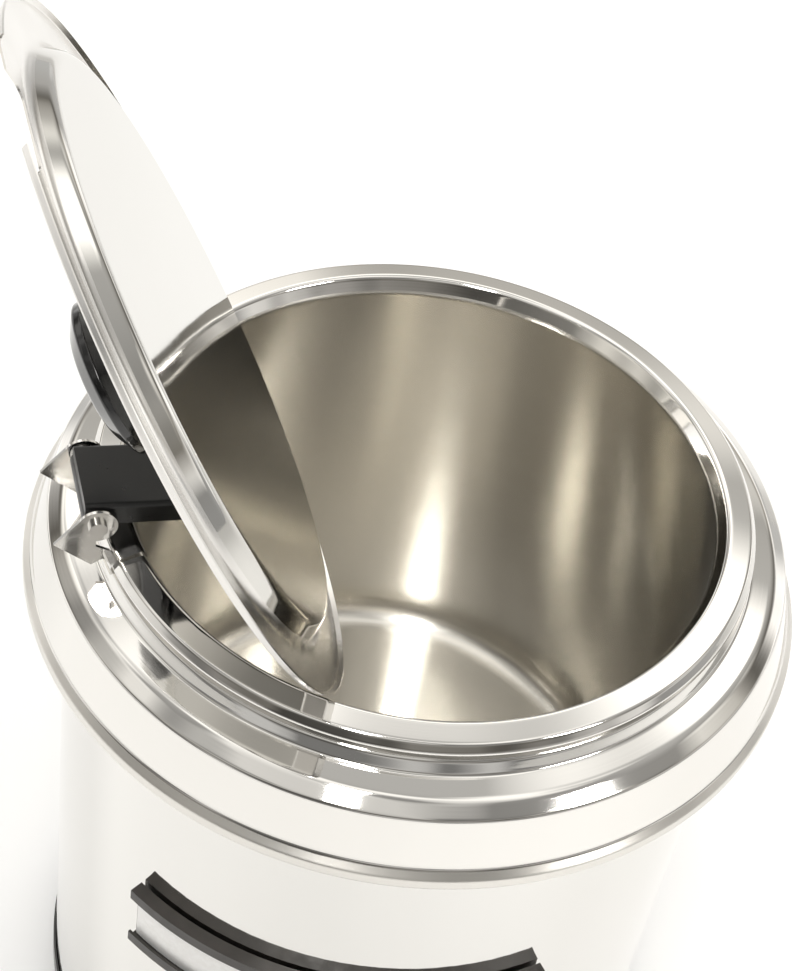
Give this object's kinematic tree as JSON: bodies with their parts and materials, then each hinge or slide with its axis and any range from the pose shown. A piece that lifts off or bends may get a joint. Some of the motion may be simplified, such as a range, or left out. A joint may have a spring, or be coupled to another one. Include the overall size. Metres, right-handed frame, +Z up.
{
  "type": "countertop soup kettle",
  "caption": "Round water-bath food warmer with a lift-out inset pot, a lid folding back on a two-pivot arm, a dial, a slide-in label holder and rubber feet.",
  "frame": {"origin": "where the kettle's axis meets the counter, level with the undersides of the feet", "axes": "+Z up along the kettle's axis; -Y points out of the front, where the label holder and the dial are; the lid's hinge is at the back left, at 202.7 degrees from +X"},
  "size_m": [0.347, 0.3399, 0.5755],
  "materials": {
    "pot_steel": "satin",
    "polished_steel": "mirror polished",
    "hinge_steel": "polished",
    "zinc": "plated",
    "black_arm": "satin",
    "black_phenolic": "gloss",
    "aluminium": "plain",
    "element_sheath": "oxidised",
    "ceramic": "unglazed",
    "panel_black": "satin",
    "white_plastic": "satin",
    "amber_lens": "clear",
    "black_rubber": "matte",
    "label_plastic": "satin",
    "card_white": "plain",
    "black_pan": "satin"
  },
  "bodies": {
    "kettle": {"top_collar": "polished_steel", "outer_shell": "polished_steel", "water_well": "pot_steel", "well_floor": "pot_steel", "heater_plate": "aluminium", "heater_element": "element_sheath", "heater_clamps": "zinc", "baffle": "aluminium", "baffle_posts": "zinc", "thermal_cutout": "black_phenolic", "terminal_block": "ceramic", "tie_stud": "zinc", "tie_nut": "zinc", "control_panel": "panel_black", "thermostat_body": "black_phenolic", "thermostat_nut": "zinc", "pilot_housing": "black_phenolic", "pilot_lens": "amber_lens", "cord_gland": "black_rubber", "gland_nut": "white_plastic", "label_frame": "label_plastic", "label_pad": "black_rubber", "label_card": "card_white", "base_pan": "black_pan", "foot_screws": "zinc", "foot_1": "black_rubber", "foot_2": "black_rubber", "foot_3": "black_rubber", "foot_4": "black_rubber"},
    "inset": {"inset_pot": "pot_steel", "hinge_bracket": "hinge_steel", "hinge_pin": "hinge_steel", "hinge_washers": "zinc"},
    "arm": {"hinge_arm": "black_arm", "lid_pivot_pin": "hinge_steel"},
    "lid": {"lid_disc": "polished_steel", "lid_lugs": "hinge_steel", "knob_stud": "zinc", "knob_stem": "black_phenolic", "lid_knob": "black_phenolic"},
    "dial": {"temperature_knob": "black_phenolic", "thermostat_shaft": "zinc", "knob_marker": "white_plastic"}
  },
  "joints": [
    {"name": "inset_lift", "type": "slide", "parent": "kettle", "child": "inset", "axis": [0, 0, 1], "range_m": [0, 0.26]},
    {"name": "arm_hinge", "type": "hinge", "parent": "inset", "child": "arm", "pos_m": [-0.13008, -0.05441, 0.378], "axis": [0.3859, -0.9225, 0], "range_deg": [0, 60]},
    {"name": "lid_hinge", "type": "hinge", "parent": "arm", "child": "lid", "pos_m": [-0.07325, -0.03064, 0.3772], "axis": [0.3859, -0.9225, 0], "range_deg": [-117.5, 0]},
    {"name": "temperature_knob_turn", "type": "hinge", "parent": "kettle", "child": "dial", "pos_m": [0, -0.16, 0.082], "axis": [0, -1, 0], "range_deg": [-270, 0]}
  ],
  "couplings": [
    {"joint": "lid_hinge", "follows": "arm_hinge", "ratio": -1.95}
  ]
}
